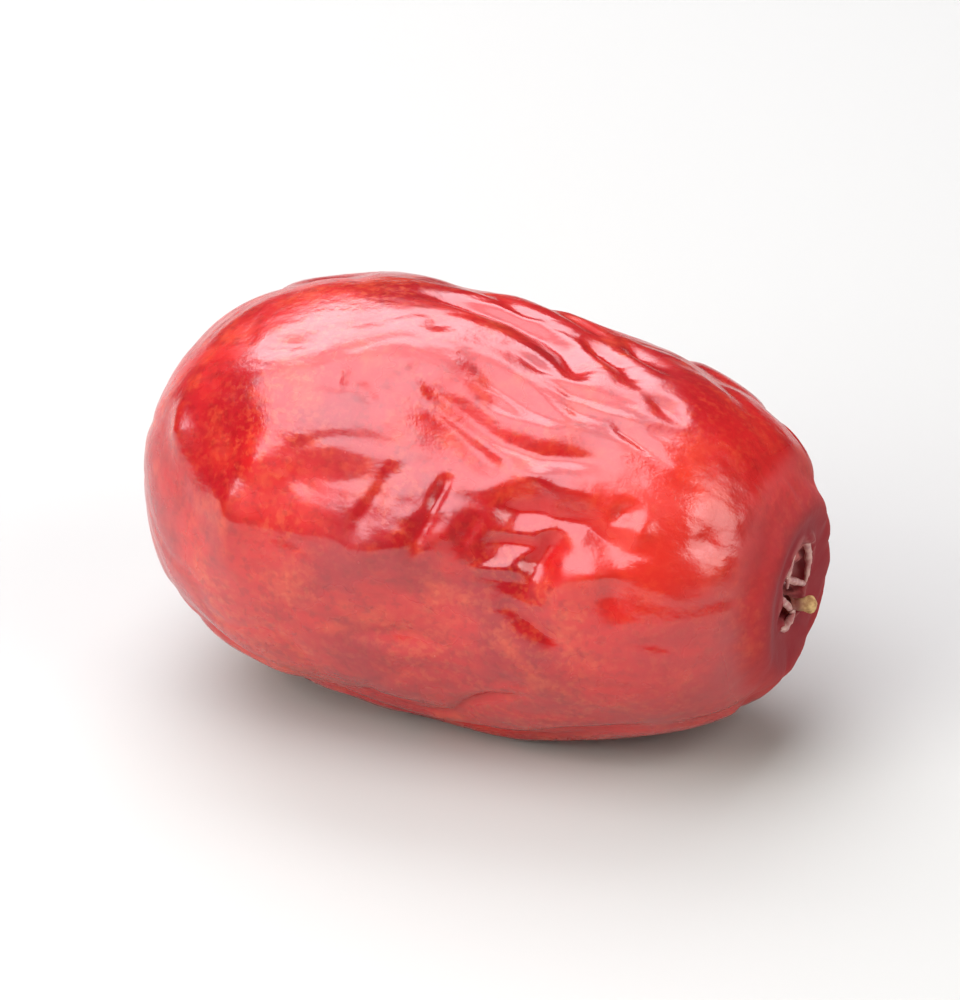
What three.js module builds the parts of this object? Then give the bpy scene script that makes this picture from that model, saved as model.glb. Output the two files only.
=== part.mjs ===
// A dried jujube lying on its side: one wrinkled fruit with a torn scar at its stem end, and the
// dried stub of the stalk that stands in the scar's pit.
// Units are millimetres. +Z is up, +X runs along the fruit to its stem end, and the origin is
// on the table under the middle of the fruit.

import * as THREE from "three";

// Driving dimensions of the fruit
const LENGTH = 50; // from the blossom end to the stem end
const WIDTH = 31.8; // across the fruit, level with the table
const HEIGHT = 30.4; // across the fruit, upright
const TAPER = 0.28; // share of the width lost from the blossom end to the stem end
const STEM_FULLNESS = 3.4; // superellipse power of the boxy stem half
const BLOSSOM_FULLNESS = 2.25; // superellipse power of the rounder blossom half
const NOSE_DOWN = THREE.MathUtils.degToRad(4); // the stem end leans down by this much

// Where the fruit rests
const SINK = 0.8; // how much of the round underside the resting spot flattens
const SPOT_BLEND = 0.25; // height over which the spot rounds into the side
const SPOT_STRETCH = 1.6; // the spot is this much longer than wide
const SPOT_INNER = 3; // inside this distance from its middle the spot has no wrinkles
const SPOT_OUTER = 6.5; // and outside this one they have their full depth

// Slow dents and wrinkles that drying leaves in the skin
const DENT_LENGTH = 24;
const DENT_DEPTH = 0.4;
const SWAY_LENGTH = 9.5;
const SWAY_DEPTH = 0.13;
const WRINKLE_LENGTH = 6.5;
const WRINKLE_STRETCH = 2.6; // wrinkles run along the fruit, this much longer than wide
const WRINKLE_DEPTH = 0.4;
const WRINKLE_WANDER = 1.6;
const DRAWN_SIDE = THREE.MathUtils.degToRad(35); // the folds drawn below are round this angle

// The main folds of the front. Each is a breadth and its points: millimetres along the fruit,
// degrees around it from the front over the top, and the depth there. A depth below zero is
// a ridge.
const DRAWN_FOLDS = [
  // Long grooves over the top, and the ridges between them
  [1.2, [[-7.5, 92, 0], [-4.5, 93.5, 0.5], [-2, 95, 0.8], [1, 95.5, 0.9], [3.5, 93, 0.9], [5.5, 88.5, 0.8],
    [7.2, 82, 0.7], [8.8, 77, 0]]],
  [0.9, [[-4, 98, 0], [-1, 99.2, -0.3], [2.5, 98.6, -0.3], [5, 95.5, -0.2], [7, 92, 0]]],
  [3.0, [[-5, 113, 0], [0, 112, -0.4], [6, 110, -0.4], [11, 105, 0]]],
  [1.0, [[5.5, 98, 0], [7.5, 95, 0.6], [9.5, 91, 0.6], [11, 86, 0.4], [12.6, 81, 0]]],
  [1.0, [[8, 108, 0], [10, 102, 0.5], [12, 97, 0.4], [13.6, 92, 0]]],
  [0.9, [[10.4, 69, 0], [12.2, 66, 0.25], [14.2, 63, 0.25], [16.6, 59, 0]]],
  [0.9, [[12.4, 82, 0], [14.2, 78, 0.4], [16, 74, 0]]],
  [1.1, [[-2.6, 85, 0], [-3.1, 79, 0.3], [-3.4, 72, 0]]],
  // Softer grooves that run along the fruit under them
  [0.9, [[-1, 72, 0], [2.5, 67, 0.4], [6, 63, 0.35], [9, 61, 0]]],
  [0.9, [[0.5, 64, 0], [3.5, 61.5, 0.3], [6.5, 59, 0]]],
  [1.1, [[-4, 64, 0], [-1, 58.5, 0.35], [2, 55, 0.45], [5, 51, 0.5], [8, 50.5, 0.6], [10.5, 53, 0.45],
    [13, 57, 0]]],
  [1.2, [[-7, 62, 0], [-3.5, 57, 0.25], [0, 52, 0.35], [3, 47.5, 0.5], [4.6, 44.5, 0.5], [6, 40, 0]]],
  [0.9, [[4, 76, 0], [8, 72, 0.35], [13, 72, 0]]],
  [0.9, [[5, 71, 0], [9, 67, 0.3], [12, 66, 0]]],
  [1.1, [[-8.6, 61, 0], [-8.2, 56, 0.3], [-7.7, 50, 0.2], [-7.4, 44, 0]]],
  [2.2, [[-9.8, 27, 0], [-8, 28, 0.45], [-5.5, 29, 0.45], [-4.2, 30, 0.35], [-2.6, 31, 0]]],
  [2.0, [[-14, 30, 0], [-12, 28, -0.5], [-10.5, 26, 0]]],
  // Short folds across the fruit, the fingers between them and the swelling that they end on
  [1.1, [[-1.6, 39.5, 0], [-2, 34, 0.3], [-2.4, 28, 0.45], [-2.9, 21, 0.4], [-3.5, 13, 0]]],
  [0.9, [[2.3, 39, 0], [2.1, 36, 0.3], [1.9, 30, 0.45], [1.6, 25, 0.45], [1.3, 20, 0.5], [0.6, 12, 0]]],
  [0.9, [[5.3, 33, 0], [4.9, 28, 0.2], [4.5, 23, 0.35], [4.1, 16, 0]]],
  [3.4, [[-4.5, 12, 0], [-2.2, 14, -1.2], [0, 16, -1.3], [3, 22, -1.1], [5.4, 24, 0]]],
  // The crumpled patch: the hollow under its lip and three facets
  [1.6, [[6.6, 31.5, 0.3], [7.6, 33, 0.75], [9.2, 35, 0.75], [10.6, 34.5, 0.5]]],
  [1.4, [[9.2, 34.5, 0.5], [10.4, 34.5, 0.65], [12.6, 35, 0.6], [14.4, 31, 0.5], [15.8, 26, 0]]],
  [1.0, [[5.6, 22, 0.2], [6.6, 23, 0.5], [8, 24, 0.6], [9.3, 24.5, 0.6], [10.6, 26, 0.7]]],
  [1.2, [[10.9, 31, 0.5], [10.5, 26, 1], [10, 20, 1.1], [9.7, 14, 0.4], [9.5, 10, 0]]],
  [0.9, [[4.4, 13, 0], [5.2, 15, -0.55], [7.2, 16.5, -0.55], [8.9, 17, -0.3]]],
  [1.6, [[10.8, 15.5, 0], [12, 18, -0.7], [13.6, 20, -0.7], [15.4, 23.5, -0.2]]],
  [0.9, [[14, 36, 0.3], [14.7, 41, 0.6], [15.6, 46, 0]]],
  [0.9, [[15.9, 31, 0], [16.1, 36, -0.35], [16.4, 43, 0]]],
  [0.9, [[7.5, 8, 0], [9.6, 3, 0.4], [11.4, -1.5, 0.4], [13, -4, 0]]],
  [1.0, [[14.6, 22, 0], [15.2, 15, 0.4], [16.5, 7, 0]]],
  // The dimple on the shoulder of the stem end
  [1.2, [[19.6, 36, 0.15], [20.5, 40, 0.3], [21.1, 45, 0.15]]],
  // Two small puckers at the blossom end, and faint grooves low on the side
  [1.1, [[-19.9, 45, 0], [-19.5, 38, -0.4], [-19, 31, -0.7], [-18.6, 25, -0.35], [-18.4, 19, 0]]],
  [2.0, [[-14.6, 38, 0], [-14.3, 33, 0.35], [-13.9, 27, 0.1], [-13.5, 21, -0.3], [-13, 16, -0.7],
    [-12.7, 12, -0.8], [-12.4, 3, -0.45], [-12.2, -6, 0]]],
  [0.9, [[-5, -16, 0], [0.6, -10, 0.3], [6.5, -14, 0]]],
  [0.9, [[15, 1, 0], [18.5, 1, 0.3], [22, -3, 0]]],
];
const CREASE_POWER = 1.5; // below 2, a fold is sharp at its bottom
const SWELL_SHARE = 0.22; // the skin beside a fold swells by this share of its depth
const SWELL_REACH = 3; // and as far as this many breadths away

// Folds spread by rule over the back and the underside
const RULE_FOLD_COUNT = 44;
const RULE_FOLD_SEED = 3;

// The stem end: a shallow basin with a rim, and a pit with a torn lip a little off the axis
const BASIN_RADIUS = 6.4;
const BASIN_DEPTH = 0.9;
const RIM_HEIGHT = 0.25;
const RIM_BREADTH = 1.1;
const PIT_RADIUS = 3.1;
const PIT_DEPTH = 1.3;
const PIT_SIDE = -0.4;
const PIT_RISE = 1.15;
const PLUG_SHARE = 0.35; // the torn flesh leaves the upper half of the pit only this deep
const LIP_HEIGHT = 0.5;
const LIP_BREADTH = 0.8;

// The dimple at the blossom end
const DIMPLE_RADIUS = 2.6;
const DIMPLE_DEPTH = 0.7;

// The dried stalk stub, from its foot in the pit to its broken tip, in the fruit's own frame
const STUB_FOOT = new THREE.Vector3(23.9, -0.5, -1.0);
const STUB_TIP = new THREE.Vector3(25.6, 1.4, -1.5);
const STUB_RADIUS = 0.6;

// Mesh fineness
const RINGS = 54;
const SIDES = 108;
const RING_GATHER = 0.055; // draws the rings towards the two ends
const STUB_SIDES = 14;

const GOLDEN_ANGLE = Math.PI * (3 - Math.sqrt(5));
const GOLDEN_SHARE = (Math.sqrt(5) - 1) / 2;
const WAVE_COUNT = 9;

const smoothstep = THREE.MathUtils.smoothstep;

// A smooth, irregular field of about -1 to 1: plane waves of one length, whose directions are
// spread over the sphere by the golden angle and whose phases come from the seed.
function ripple(x, y, z, waveLength, seed) {
  let sum = 0;
  for (let i = 0; i < WAVE_COUNT; i++) {
    const up = 1 - (2 * i + 1) / WAVE_COUNT;
    const level = Math.sqrt(1 - up * up);
    const turn = GOLDEN_ANGLE * (i + seed);
    const along = x * level * Math.cos(turn) + y * level * Math.sin(turn) + z * up;
    sum += Math.sin((2 * Math.PI * along) / waveLength + seed * (i * i + 1));
  }
  return sum / Math.sqrt(WAVE_COUNT);
}

// The plump fruit before it dried. polar runs from 0 at the stem end to PI at the blossom end,
// and around from 0 at the front, over the top at PI / 2.
function plumpPoint(polar, around) {
  const c = Math.cos(polar);
  const s = Math.sin(polar);
  const power = c > 0 ? STEM_FULLNESS : BLOSSOM_FULLNESS;
  const reach = LENGTH / 2 / (Math.abs(c) ** power + ((s * LENGTH) / WIDTH) ** power) ** (1 / power);
  const x = reach * c;
  const radius = reach * s * (1 - (TAPER * x) / LENGTH);
  return new THREE.Vector3(x, -radius * Math.cos(around), (radius * Math.sin(around) * HEIGHT) / WIDTH);
}

// The same surface, at x millimetres along and so many degrees around
function plumpPointAt(x, degrees) {
  const power = x > 0 ? STEM_FULLNESS : BLOSSOM_FULLNESS;
  const share = Math.min(Math.abs(x) / (LENGTH / 2), 0.999);
  const radius = (WIDTH / 2) * (1 - share ** power) ** (1 / power) * (1 - (TAPER * x) / LENGTH);
  const around = THREE.MathUtils.degToRad(degrees);
  return new THREE.Vector3(x, -radius * Math.cos(around), (radius * Math.sin(around) * HEIGHT) / WIDTH);
}

// Wavy folds along the back and the underside, spread by the golden ratio
function ruleFolds() {
  const folds = [];
  for (let i = 0; i < RULE_FOLD_COUNT; i++) {
    const x = -17 + 34 * ((i * GOLDEN_SHARE + 0.13) % 1);
    const degrees = 122 + (208 * (i + 0.5)) / RULE_FOLD_COUNT;
    const reach = 3 + 3.5 * ((i * GOLDEN_SHARE * 3 + 0.4) % 1);
    const swing = 8 * Math.sin(RULE_FOLD_SEED + 2.3 * i);
    const depth = 0.35 + 0.45 * ((i * GOLDEN_SHARE * 5 + 0.7) % 1);
    const breadth = 0.8 + 0.5 * ((i * GOLDEN_SHARE * 7) % 1);
    const start = [Math.max(x - reach, -23), degrees - swing, 0.05];
    const middle = [x, degrees + swing * 0.4, depth];
    const end = [Math.min(x + reach, 22), degrees + swing, 0.05];
    folds.push([breadth, [start, middle, end]]);
  }
  return folds;
}

// The straight stretches that the folds are made of
function stretchesOf(folds) {
  const stretches = [];
  for (const [breadth, points] of folds)
    for (let i = 1; i < points.length; i++) {
      const [startX, startDegrees, startDepth] = points[i - 1];
      const [endX, endDegrees, endDepth] = points[i];
      const line = new THREE.Line3(plumpPointAt(startX, startDegrees), plumpPointAt(endX, endDegrees));
      stretches.push({ breadth, line, startDepth, endDepth });
    }
  return stretches;
}

const STRETCHES = stretchesOf([...DRAWN_FOLDS, ...ruleFolds()]);

// How far the folds lift the skin at a point of the plump fruit. Where folds meet, the deepest
// groove and the highest ridge win.
function foldRelief(p) {
  const foot = new THREE.Vector3();
  let groove = 0;
  let ridge = 0;
  let swell = 0;
  for (const { breadth, line, startDepth, endDepth } of STRETCHES) {
    const share = line.closestPointToPointParameter(p, true);
    const steps = line.at(share, foot).distanceTo(p) / breadth;
    const depth = THREE.MathUtils.lerp(startDepth, endDepth, share);
    const pressed = depth * Math.exp(-(steps ** CREASE_POWER));
    groove = Math.max(groove, pressed);
    ridge = Math.max(ridge, -pressed);
    swell = Math.max(swell, Math.abs(depth) * Math.exp(-((steps / SWELL_REACH) ** 2)));
  }
  return ridge + swell * SWELL_SHARE - groove * (1 + SWELL_SHARE);
}

// Wrinkles by rule. The drawn side keeps only a trace of them.
function wrinkleRelief(p) {
  const wanderX = WRINKLE_WANDER * ripple(p.x, p.y, p.z, 14, 5);
  const wanderY = WRINKLE_WANDER * ripple(p.x, p.y, p.z, 14, 7);
  const wave = ripple(
    (p.x + wanderX) / WRINKLE_STRETCH, p.y + wanderY, p.z + wanderX, WRINKLE_LENGTH, 3);
  const wrinkle = WRINKLE_DEPTH * Math.exp(-((wave / 0.45) ** 2));
  const fromAxis = Math.max(Math.hypot(p.y, p.z), 1e-6);
  const facing = (p.z * Math.sin(DRAWN_SIDE) - p.y * Math.cos(DRAWN_SIDE)) / fromAxis;
  return -wrinkle * (1 - 0.85 * smoothstep(facing, 0, 0.6));
}

// How far the skin stands out, in millimetres, at a point of the plump fruit
function skinRelief(p) {
  const dent = DENT_DEPTH * ripple(p.x, p.y, p.z, DENT_LENGTH, 2);
  const sway = SWAY_DEPTH * ripple(p.x, p.y, p.z, SWAY_LENGTH, 4);
  const fromSpot = Math.hypot(p.x / SPOT_STRETCH, p.y);
  const calm = p.z < 0 ? smoothstep(fromSpot, SPOT_INNER, SPOT_OUTER) : 1;
  return dent + (sway + wrinkleRelief(p) + foldRelief(p)) * calm;
}

// How far the stem end is hollowed at a point of it
function stemHollow(p) {
  const fromAxis = Math.hypot(p.y, p.z);
  const basin = 1 - smoothstep(fromAxis, BASIN_RADIUS * 0.4, BASIN_RADIUS);
  const rim = Math.exp(-(((fromAxis - BASIN_RADIUS) / RIM_BREADTH) ** 2));
  const fromPit = Math.hypot(p.y - PIT_SIDE, p.z - PIT_RISE);
  const pit = 1 - smoothstep(fromPit, PIT_RADIUS * 0.6, PIT_RADIUS * 1.05);
  const plug = THREE.MathUtils.lerp(1, PLUG_SHARE, smoothstep(p.z, -1, 1.6));
  const lip = Math.exp(-(((fromPit - PIT_RADIUS * 1.08) / LIP_BREADTH) ** 2));
  return basin * BASIN_DEPTH + pit * PIT_DEPTH * plug - rim * RIM_HEIGHT - lip * LIP_HEIGHT;
}

// A point of the dried skin, in the frame of the lying fruit
function skinPoint(share, around) {
  const polar = Math.PI * (share - RING_GATHER * Math.sin(2 * Math.PI * share));
  const p = plumpPoint(polar, around);
  const out = new THREE.Vector3(p.x / LENGTH ** 2, p.y / WIDTH ** 2, p.z / HEIGHT ** 2).normalize();
  const nearPole = smoothstep(Math.hypot(p.y, p.z), PIT_RADIUS, BASIN_RADIUS * 1.4);
  p.addScaledVector(out, skinRelief(p) * nearPole);
  if (p.x > 0) p.x -= stemHollow(p);
  else p.x += DIMPLE_DEPTH * (1 - smoothstep(Math.hypot(p.y, p.z), 0, DIMPLE_RADIUS));
  return layDown(p);
}

// Tips the stem end down, lifts the fruit onto the table and flattens the resting spot
function layDown(p) {
  p.applyAxisAngle(new THREE.Vector3(0, 1, 0), NOSE_DOWN);
  p.z += HEIGHT / 2 - SINK;
  if (p.z < -SPOT_BLEND) p.z = 0;
  else if (p.z < SPOT_BLEND) p.z = (p.z + SPOT_BLEND) ** 2 / (4 * SPOT_BLEND);
  return p;
}

// A closed skin of rings between two end points. Each quad is split along its shorter diagonal,
// so that the edges follow the folds.
function closedSkin(pointAt, rings, sides) {
  const corners = [pointAt(0, 0)];
  for (let i = 1; i < rings; i++)
    for (let j = 0; j < sides; j++) corners.push(pointAt(i / rings, (2 * Math.PI * j) / sides));
  corners.push(pointAt(1, 0));
  const at = (i, j) => 1 + (i - 1) * sides + (j % sides);
  const last = corners.length - 1;
  const faces = [];
  for (let j = 0; j < sides; j++) {
    faces.push(0, at(1, j + 1), at(1, j));
    faces.push(last, at(rings - 1, j), at(rings - 1, j + 1));
  }
  for (let i = 1; i < rings - 1; i++)
    for (let j = 0; j < sides; j++) {
      const [a, b, c, d] = [at(i, j), at(i, j + 1), at(i + 1, j + 1), at(i + 1, j)];
      if (corners[a].distanceTo(corners[c]) < corners[b].distanceTo(corners[d])) {
        faces.push(a, b, c, a, c, d);
      } else {
        faces.push(a, b, d, b, c, d);
      }
    }
  const skin = new THREE.BufferGeometry().setFromPoints(corners);
  skin.setIndex(faces);
  skin.computeVertexNormals();
  return skin;
}

function fruit() {
  const skin = closedSkin(skinPoint, RINGS, SIDES);
  const finish = new THREE.MeshStandardMaterial({ color: 0xb01812, roughness: 0.25, metalness: 0 });
  const mesh = new THREE.Mesh(skin, finish);
  mesh.name = "fruit";
  return mesh;
}

// The dried stalk stub: a wider foot, a thin neck and a rounded bead where it broke off
function stemStub() {
  const run = STUB_TIP.clone().sub(STUB_FOOT);
  const profile = [
    [0, 0],
    [1, 0],
    [0.72, 0.3],
    [0.85, 0.6],
    [1, 0.8],
    [0.75, 0.95],
    [0, 1],
  ].map(([radius, along]) => new THREE.Vector2(radius * STUB_RADIUS, along * run.length()));
  const finish = new THREE.MeshStandardMaterial({ color: 0xb08a52, roughness: 0.85, metalness: 0 });
  const mesh = new THREE.Mesh(new THREE.LatheGeometry(profile, STUB_SIDES), finish);
  mesh.name = "stem_stub";
  mesh.quaternion.setFromUnitVectors(new THREE.Vector3(0, 1, 0), run.normalize());
  mesh.position.copy(STUB_FOOT);
  return mesh;
}

// What stands in the fruit's own frame, tipped and lifted as the fruit is
const lying = new THREE.Group();
lying.rotation.y = NOSE_DOWN;
lying.position.z = HEIGHT / 2 - SINK;
lying.add(stemStub());

const group = new THREE.Group();
group.name = "dried_jujube";
group.add(fruit(), lying);

// The origin goes under the middle of the part
const middle = new THREE.Box3().setFromObject(group).getCenter(new THREE.Vector3());
group.position.set(-middle.x, -middle.y, 0);

export default group;
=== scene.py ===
"""A dried jujube lying on its side: the wrinkled skin, the torn stem scar and the stalk stub.

The skin's sizes are in millimetres, as in the part's own source. Everything that is placed in
the scene is in metres.
"""

import math

import bpy
import numpy as np
from mathutils import Matrix, Vector


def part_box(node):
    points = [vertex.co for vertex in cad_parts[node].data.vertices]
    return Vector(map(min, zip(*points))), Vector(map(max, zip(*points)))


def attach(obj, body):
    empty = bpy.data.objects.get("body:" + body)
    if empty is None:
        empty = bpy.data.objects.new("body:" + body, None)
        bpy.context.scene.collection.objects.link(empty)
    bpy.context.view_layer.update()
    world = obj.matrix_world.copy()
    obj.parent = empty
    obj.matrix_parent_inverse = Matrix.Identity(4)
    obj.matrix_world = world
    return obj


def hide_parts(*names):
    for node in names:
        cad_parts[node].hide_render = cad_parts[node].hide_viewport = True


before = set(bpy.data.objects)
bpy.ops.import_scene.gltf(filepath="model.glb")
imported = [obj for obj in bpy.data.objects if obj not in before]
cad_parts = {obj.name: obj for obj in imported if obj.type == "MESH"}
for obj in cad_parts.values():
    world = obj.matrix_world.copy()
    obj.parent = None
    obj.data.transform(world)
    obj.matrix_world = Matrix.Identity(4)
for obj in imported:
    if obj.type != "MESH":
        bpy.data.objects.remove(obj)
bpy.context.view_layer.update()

MM = 0.001

# The plump fruit before it dried
LENGTH = 50
WIDTH = 31.8
HEIGHT = 30.4
TAPER = 0.28 # share of the width lost from the blossom end to the stem end
STEM_FULLNESS = 3.4 # superellipse power of the boxy stem half
BLOSSOM_FULLNESS = 2.25 # superellipse power of the rounder blossom half
NOSE_DOWN = math.radians(4) # the stem end leans down by this much

# Where the fruit rests
SINK = 0.8 # how much of the round underside the resting spot flattens
SPOT_BLEND = 0.25 # height over which the spot rounds into the side
SPOT_STRETCH = 1.6 # the spot is this much longer than wide
SPOT_INNER = 3 # inside this distance from its middle the spot has no wrinkles
SPOT_OUTER = 6.5 # and outside this one they have their full depth

# Slow dents, and the wrinkles that the drawn folds leave free
DENT_LENGTH = 24
DENT_DEPTH = 0.4
SWAY_LENGTH = 9.5
SWAY_DEPTH = 0.13
WRINKLE_LENGTH = 6.5
WRINKLE_STRETCH = 2.6 # wrinkles run along the fruit, this much longer than wide
WRINKLE_DEPTH = 0.4
WRINKLE_BREADTH = 0.45 # as a share of the wave's own height
WRINKLE_WANDER = 1.6
WANDER_LENGTH = 14
DRAWN_SIDE = math.radians(35) # the drawn folds are round this angle
DRAWN_SIDE_WRINKLES = 0.15 # and the wrinkles by rule have only this share of their depth there

# The basin at the stem end and the pit in it, a little off the axis
BASIN_RADIUS = 6.4
BASIN_DEPTH = 0.9
RIM_HEIGHT = 0.25
RIM_BREADTH = 0.9
PIT_RADIUS = 3.1
PIT_DEPTH = 1.3
PIT_SIDE = -0.4
PIT_RISE = 1.15
PLUG_SHARE = 0.35 # the torn flesh leaves the upper half of the pit only this deep
LIP_HEIGHT = 0.5
LIP_BREADTH = 0.5
RAGGED_LENGTH = 2.4 # the rims of the pit and of the hole waver at this wave length
CRUMB_LENGTH = 1.3
CRUMB_HEIGHT = 0.2

# The hole beside the torn flesh in the pit
HOLE_RADIUS = 1.1
HOLE_DEPTH = 1.6
HOLE_SIDE = -1.2
HOLE_RISE = 0.2

# The torn edges of the skin round the pit: each a thickness in millimetres and its points,
# to the side and upwards from the fruit's axis
TORN_EDGES = [
    (0.30, [(-1.7, 1.0), (-1.9, 2.2), (-1.6, 3.4), (-1.0, 4.3), (-0.1, 4.4), (1.0, 3.7), (2.0, 2.5),
            (2.5, 1.2), (2.3, -0.5)]),
    (0.25, [(-2.2, 2.1), (-0.8, 1.2), (0.7, 0.3), (2.3, -0.6)]),
    (0.28, [(-3.1, 0.9), (-1.8, -0.2), (-0.6, -1.2), (0.2, -1.9)]),
    (0.30, [(-2.4, -2.0), (-1.4, -2.3), (-0.5, -2.2), (0.3, -1.8)]),
]
TORN_EDGE_ALONG = 24.25

# The dimple at the blossom end
DIMPLE_RADIUS = 2.6
DIMPLE_DEPTH = 0.7

# Wrinkles too fine for the solid, drawn out along the fruit and fainter at the blossom end
FINE_LENGTH = 1.5
FINE_STRETCH = 3.2
FINE_DEPTH = 0.085
FINE_QUIET_SHARE = 0.35

# The stalk stub: where it starts in the pit and where its broken tip is, each as millimetres
# along the axis, to the side and upwards
STUB_FOOT = (23.9, -0.5, -1.0)
STUB_TIP = (25.5, 1.4, -1.5)
STUB_RADIUS = 0.62

# Fineness of the skin
SIDES = 432
RINGS = 216
RING_GATHER = 0.05

# Colours, as linear red, green and blue
CRIMSON = (0.34, 0.006, 0.010, 1)
SCARLET = (0.50, 0.011, 0.010, 1)
EMBER = (0.58, 0.055, 0.018, 1)
DARK_STREAK = (0.20, 0.004, 0.006, 1)
FRECKLE = (0.62, 0.10, 0.035, 1)
PORE = (0.20, 0.004, 0.005, 1)
STEM_HALF_RED = (0.60, 0.016, 0.014, 1)
# Partly the skin's own orange, partly a painted glow of light on the shoulder
SHOULDER_ORANGE_AND_GLOW = (0.66, 0.032, 0.014, 1)
# The next two are painted shade: the deeper red in the folds and on their downward faces
FOLD_SHADE_RED = (0.48, 0.004, 0.005, 1)
UNDERSIDE_SHADE_RED = (0.52, 0.004, 0.004, 1)
# Painted shade in the basin of the stem end
BASIN_SHADE_PURPLE = (0.27, 0.001, 0.010, 1)
DARK_FLESH = (0.22, 0.03, 0.03, 1)
PALE_FLESH = (0.55, 0.13, 0.12, 1)
TORN_SKIN = (0.45, 0.12, 0.11, 1)
HOLE_SHADE = (0.03, 0.003, 0.003, 1)
DIMPLE_BROWN = (0.09, 0.012, 0.008, 1)
PINK_EDGE = (0.55, 0.20, 0.19, 1)
PALE_EDGE = (0.72, 0.42, 0.36, 1)
BROWN_STALK = (0.50, 0.26, 0.08, 1)
STRAW_STALK = (0.86, 0.60, 0.25, 1)
STALK_FOOT = (0.24, 0.05, 0.03, 1)
PALE_FLOOR = (0.50, 0.525, 0.49, 1)

# In metres: the middle of the stem end's shoulder, round which an orange glow of light is painted,
# where the stem half's red starts and is full, and where the skin turns dull towards the basin
SHOULDER = (0.0176, -0.0110, 0.0228)
SHOULDER_INNER = 0.0035
SHOULDER_OUTER = 0.0095
STEM_HALF = (0.010, 0.020)
DULL_END = (0.0217, 0.0235)

# The soft box over the fruit, in metres. Four panels lie from front to back, the middle one dimmer,
# and a small one to the right lights the shoulder. Each has its left and right ends, its front and
# back ends, and its power per area.
SOFTBOX_HEIGHT = 0.42
SOFTBOX_COLOUR = (0.98, 0.92, 1)
SOFTBOX_PANELS = [
    ("front_panel", (-0.44, 0.075), (-0.42, 0.00), 11.5),
    ("middle_panel", (-0.42, 0.11), (0.00, 0.13), 6.5),
    ("back_panel", (-0.50, 0.09), (0.13, 0.30), 15.5),
    ("far_panel", (-0.66, -0.02), (0.30, 0.50), 15.5),
    ("shoulder_panel", (0.33, 0.46), (-0.22, -0.07), 9.0),
]

# The camera's direction from the fruit, its distance and its lens in millimetres
CAMERA_AZIMUTH = math.radians(23)
CAMERA_ELEVATION = math.radians(27)
CAMERA_DISTANCE = 0.5
CAMERA_LENS = 250

GOLDEN_ANGLE = math.pi * (3 - math.sqrt(5))
GOLDEN_SHARE = (math.sqrt(5) - 1) / 2
WAVE_COUNT = 9
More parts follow.
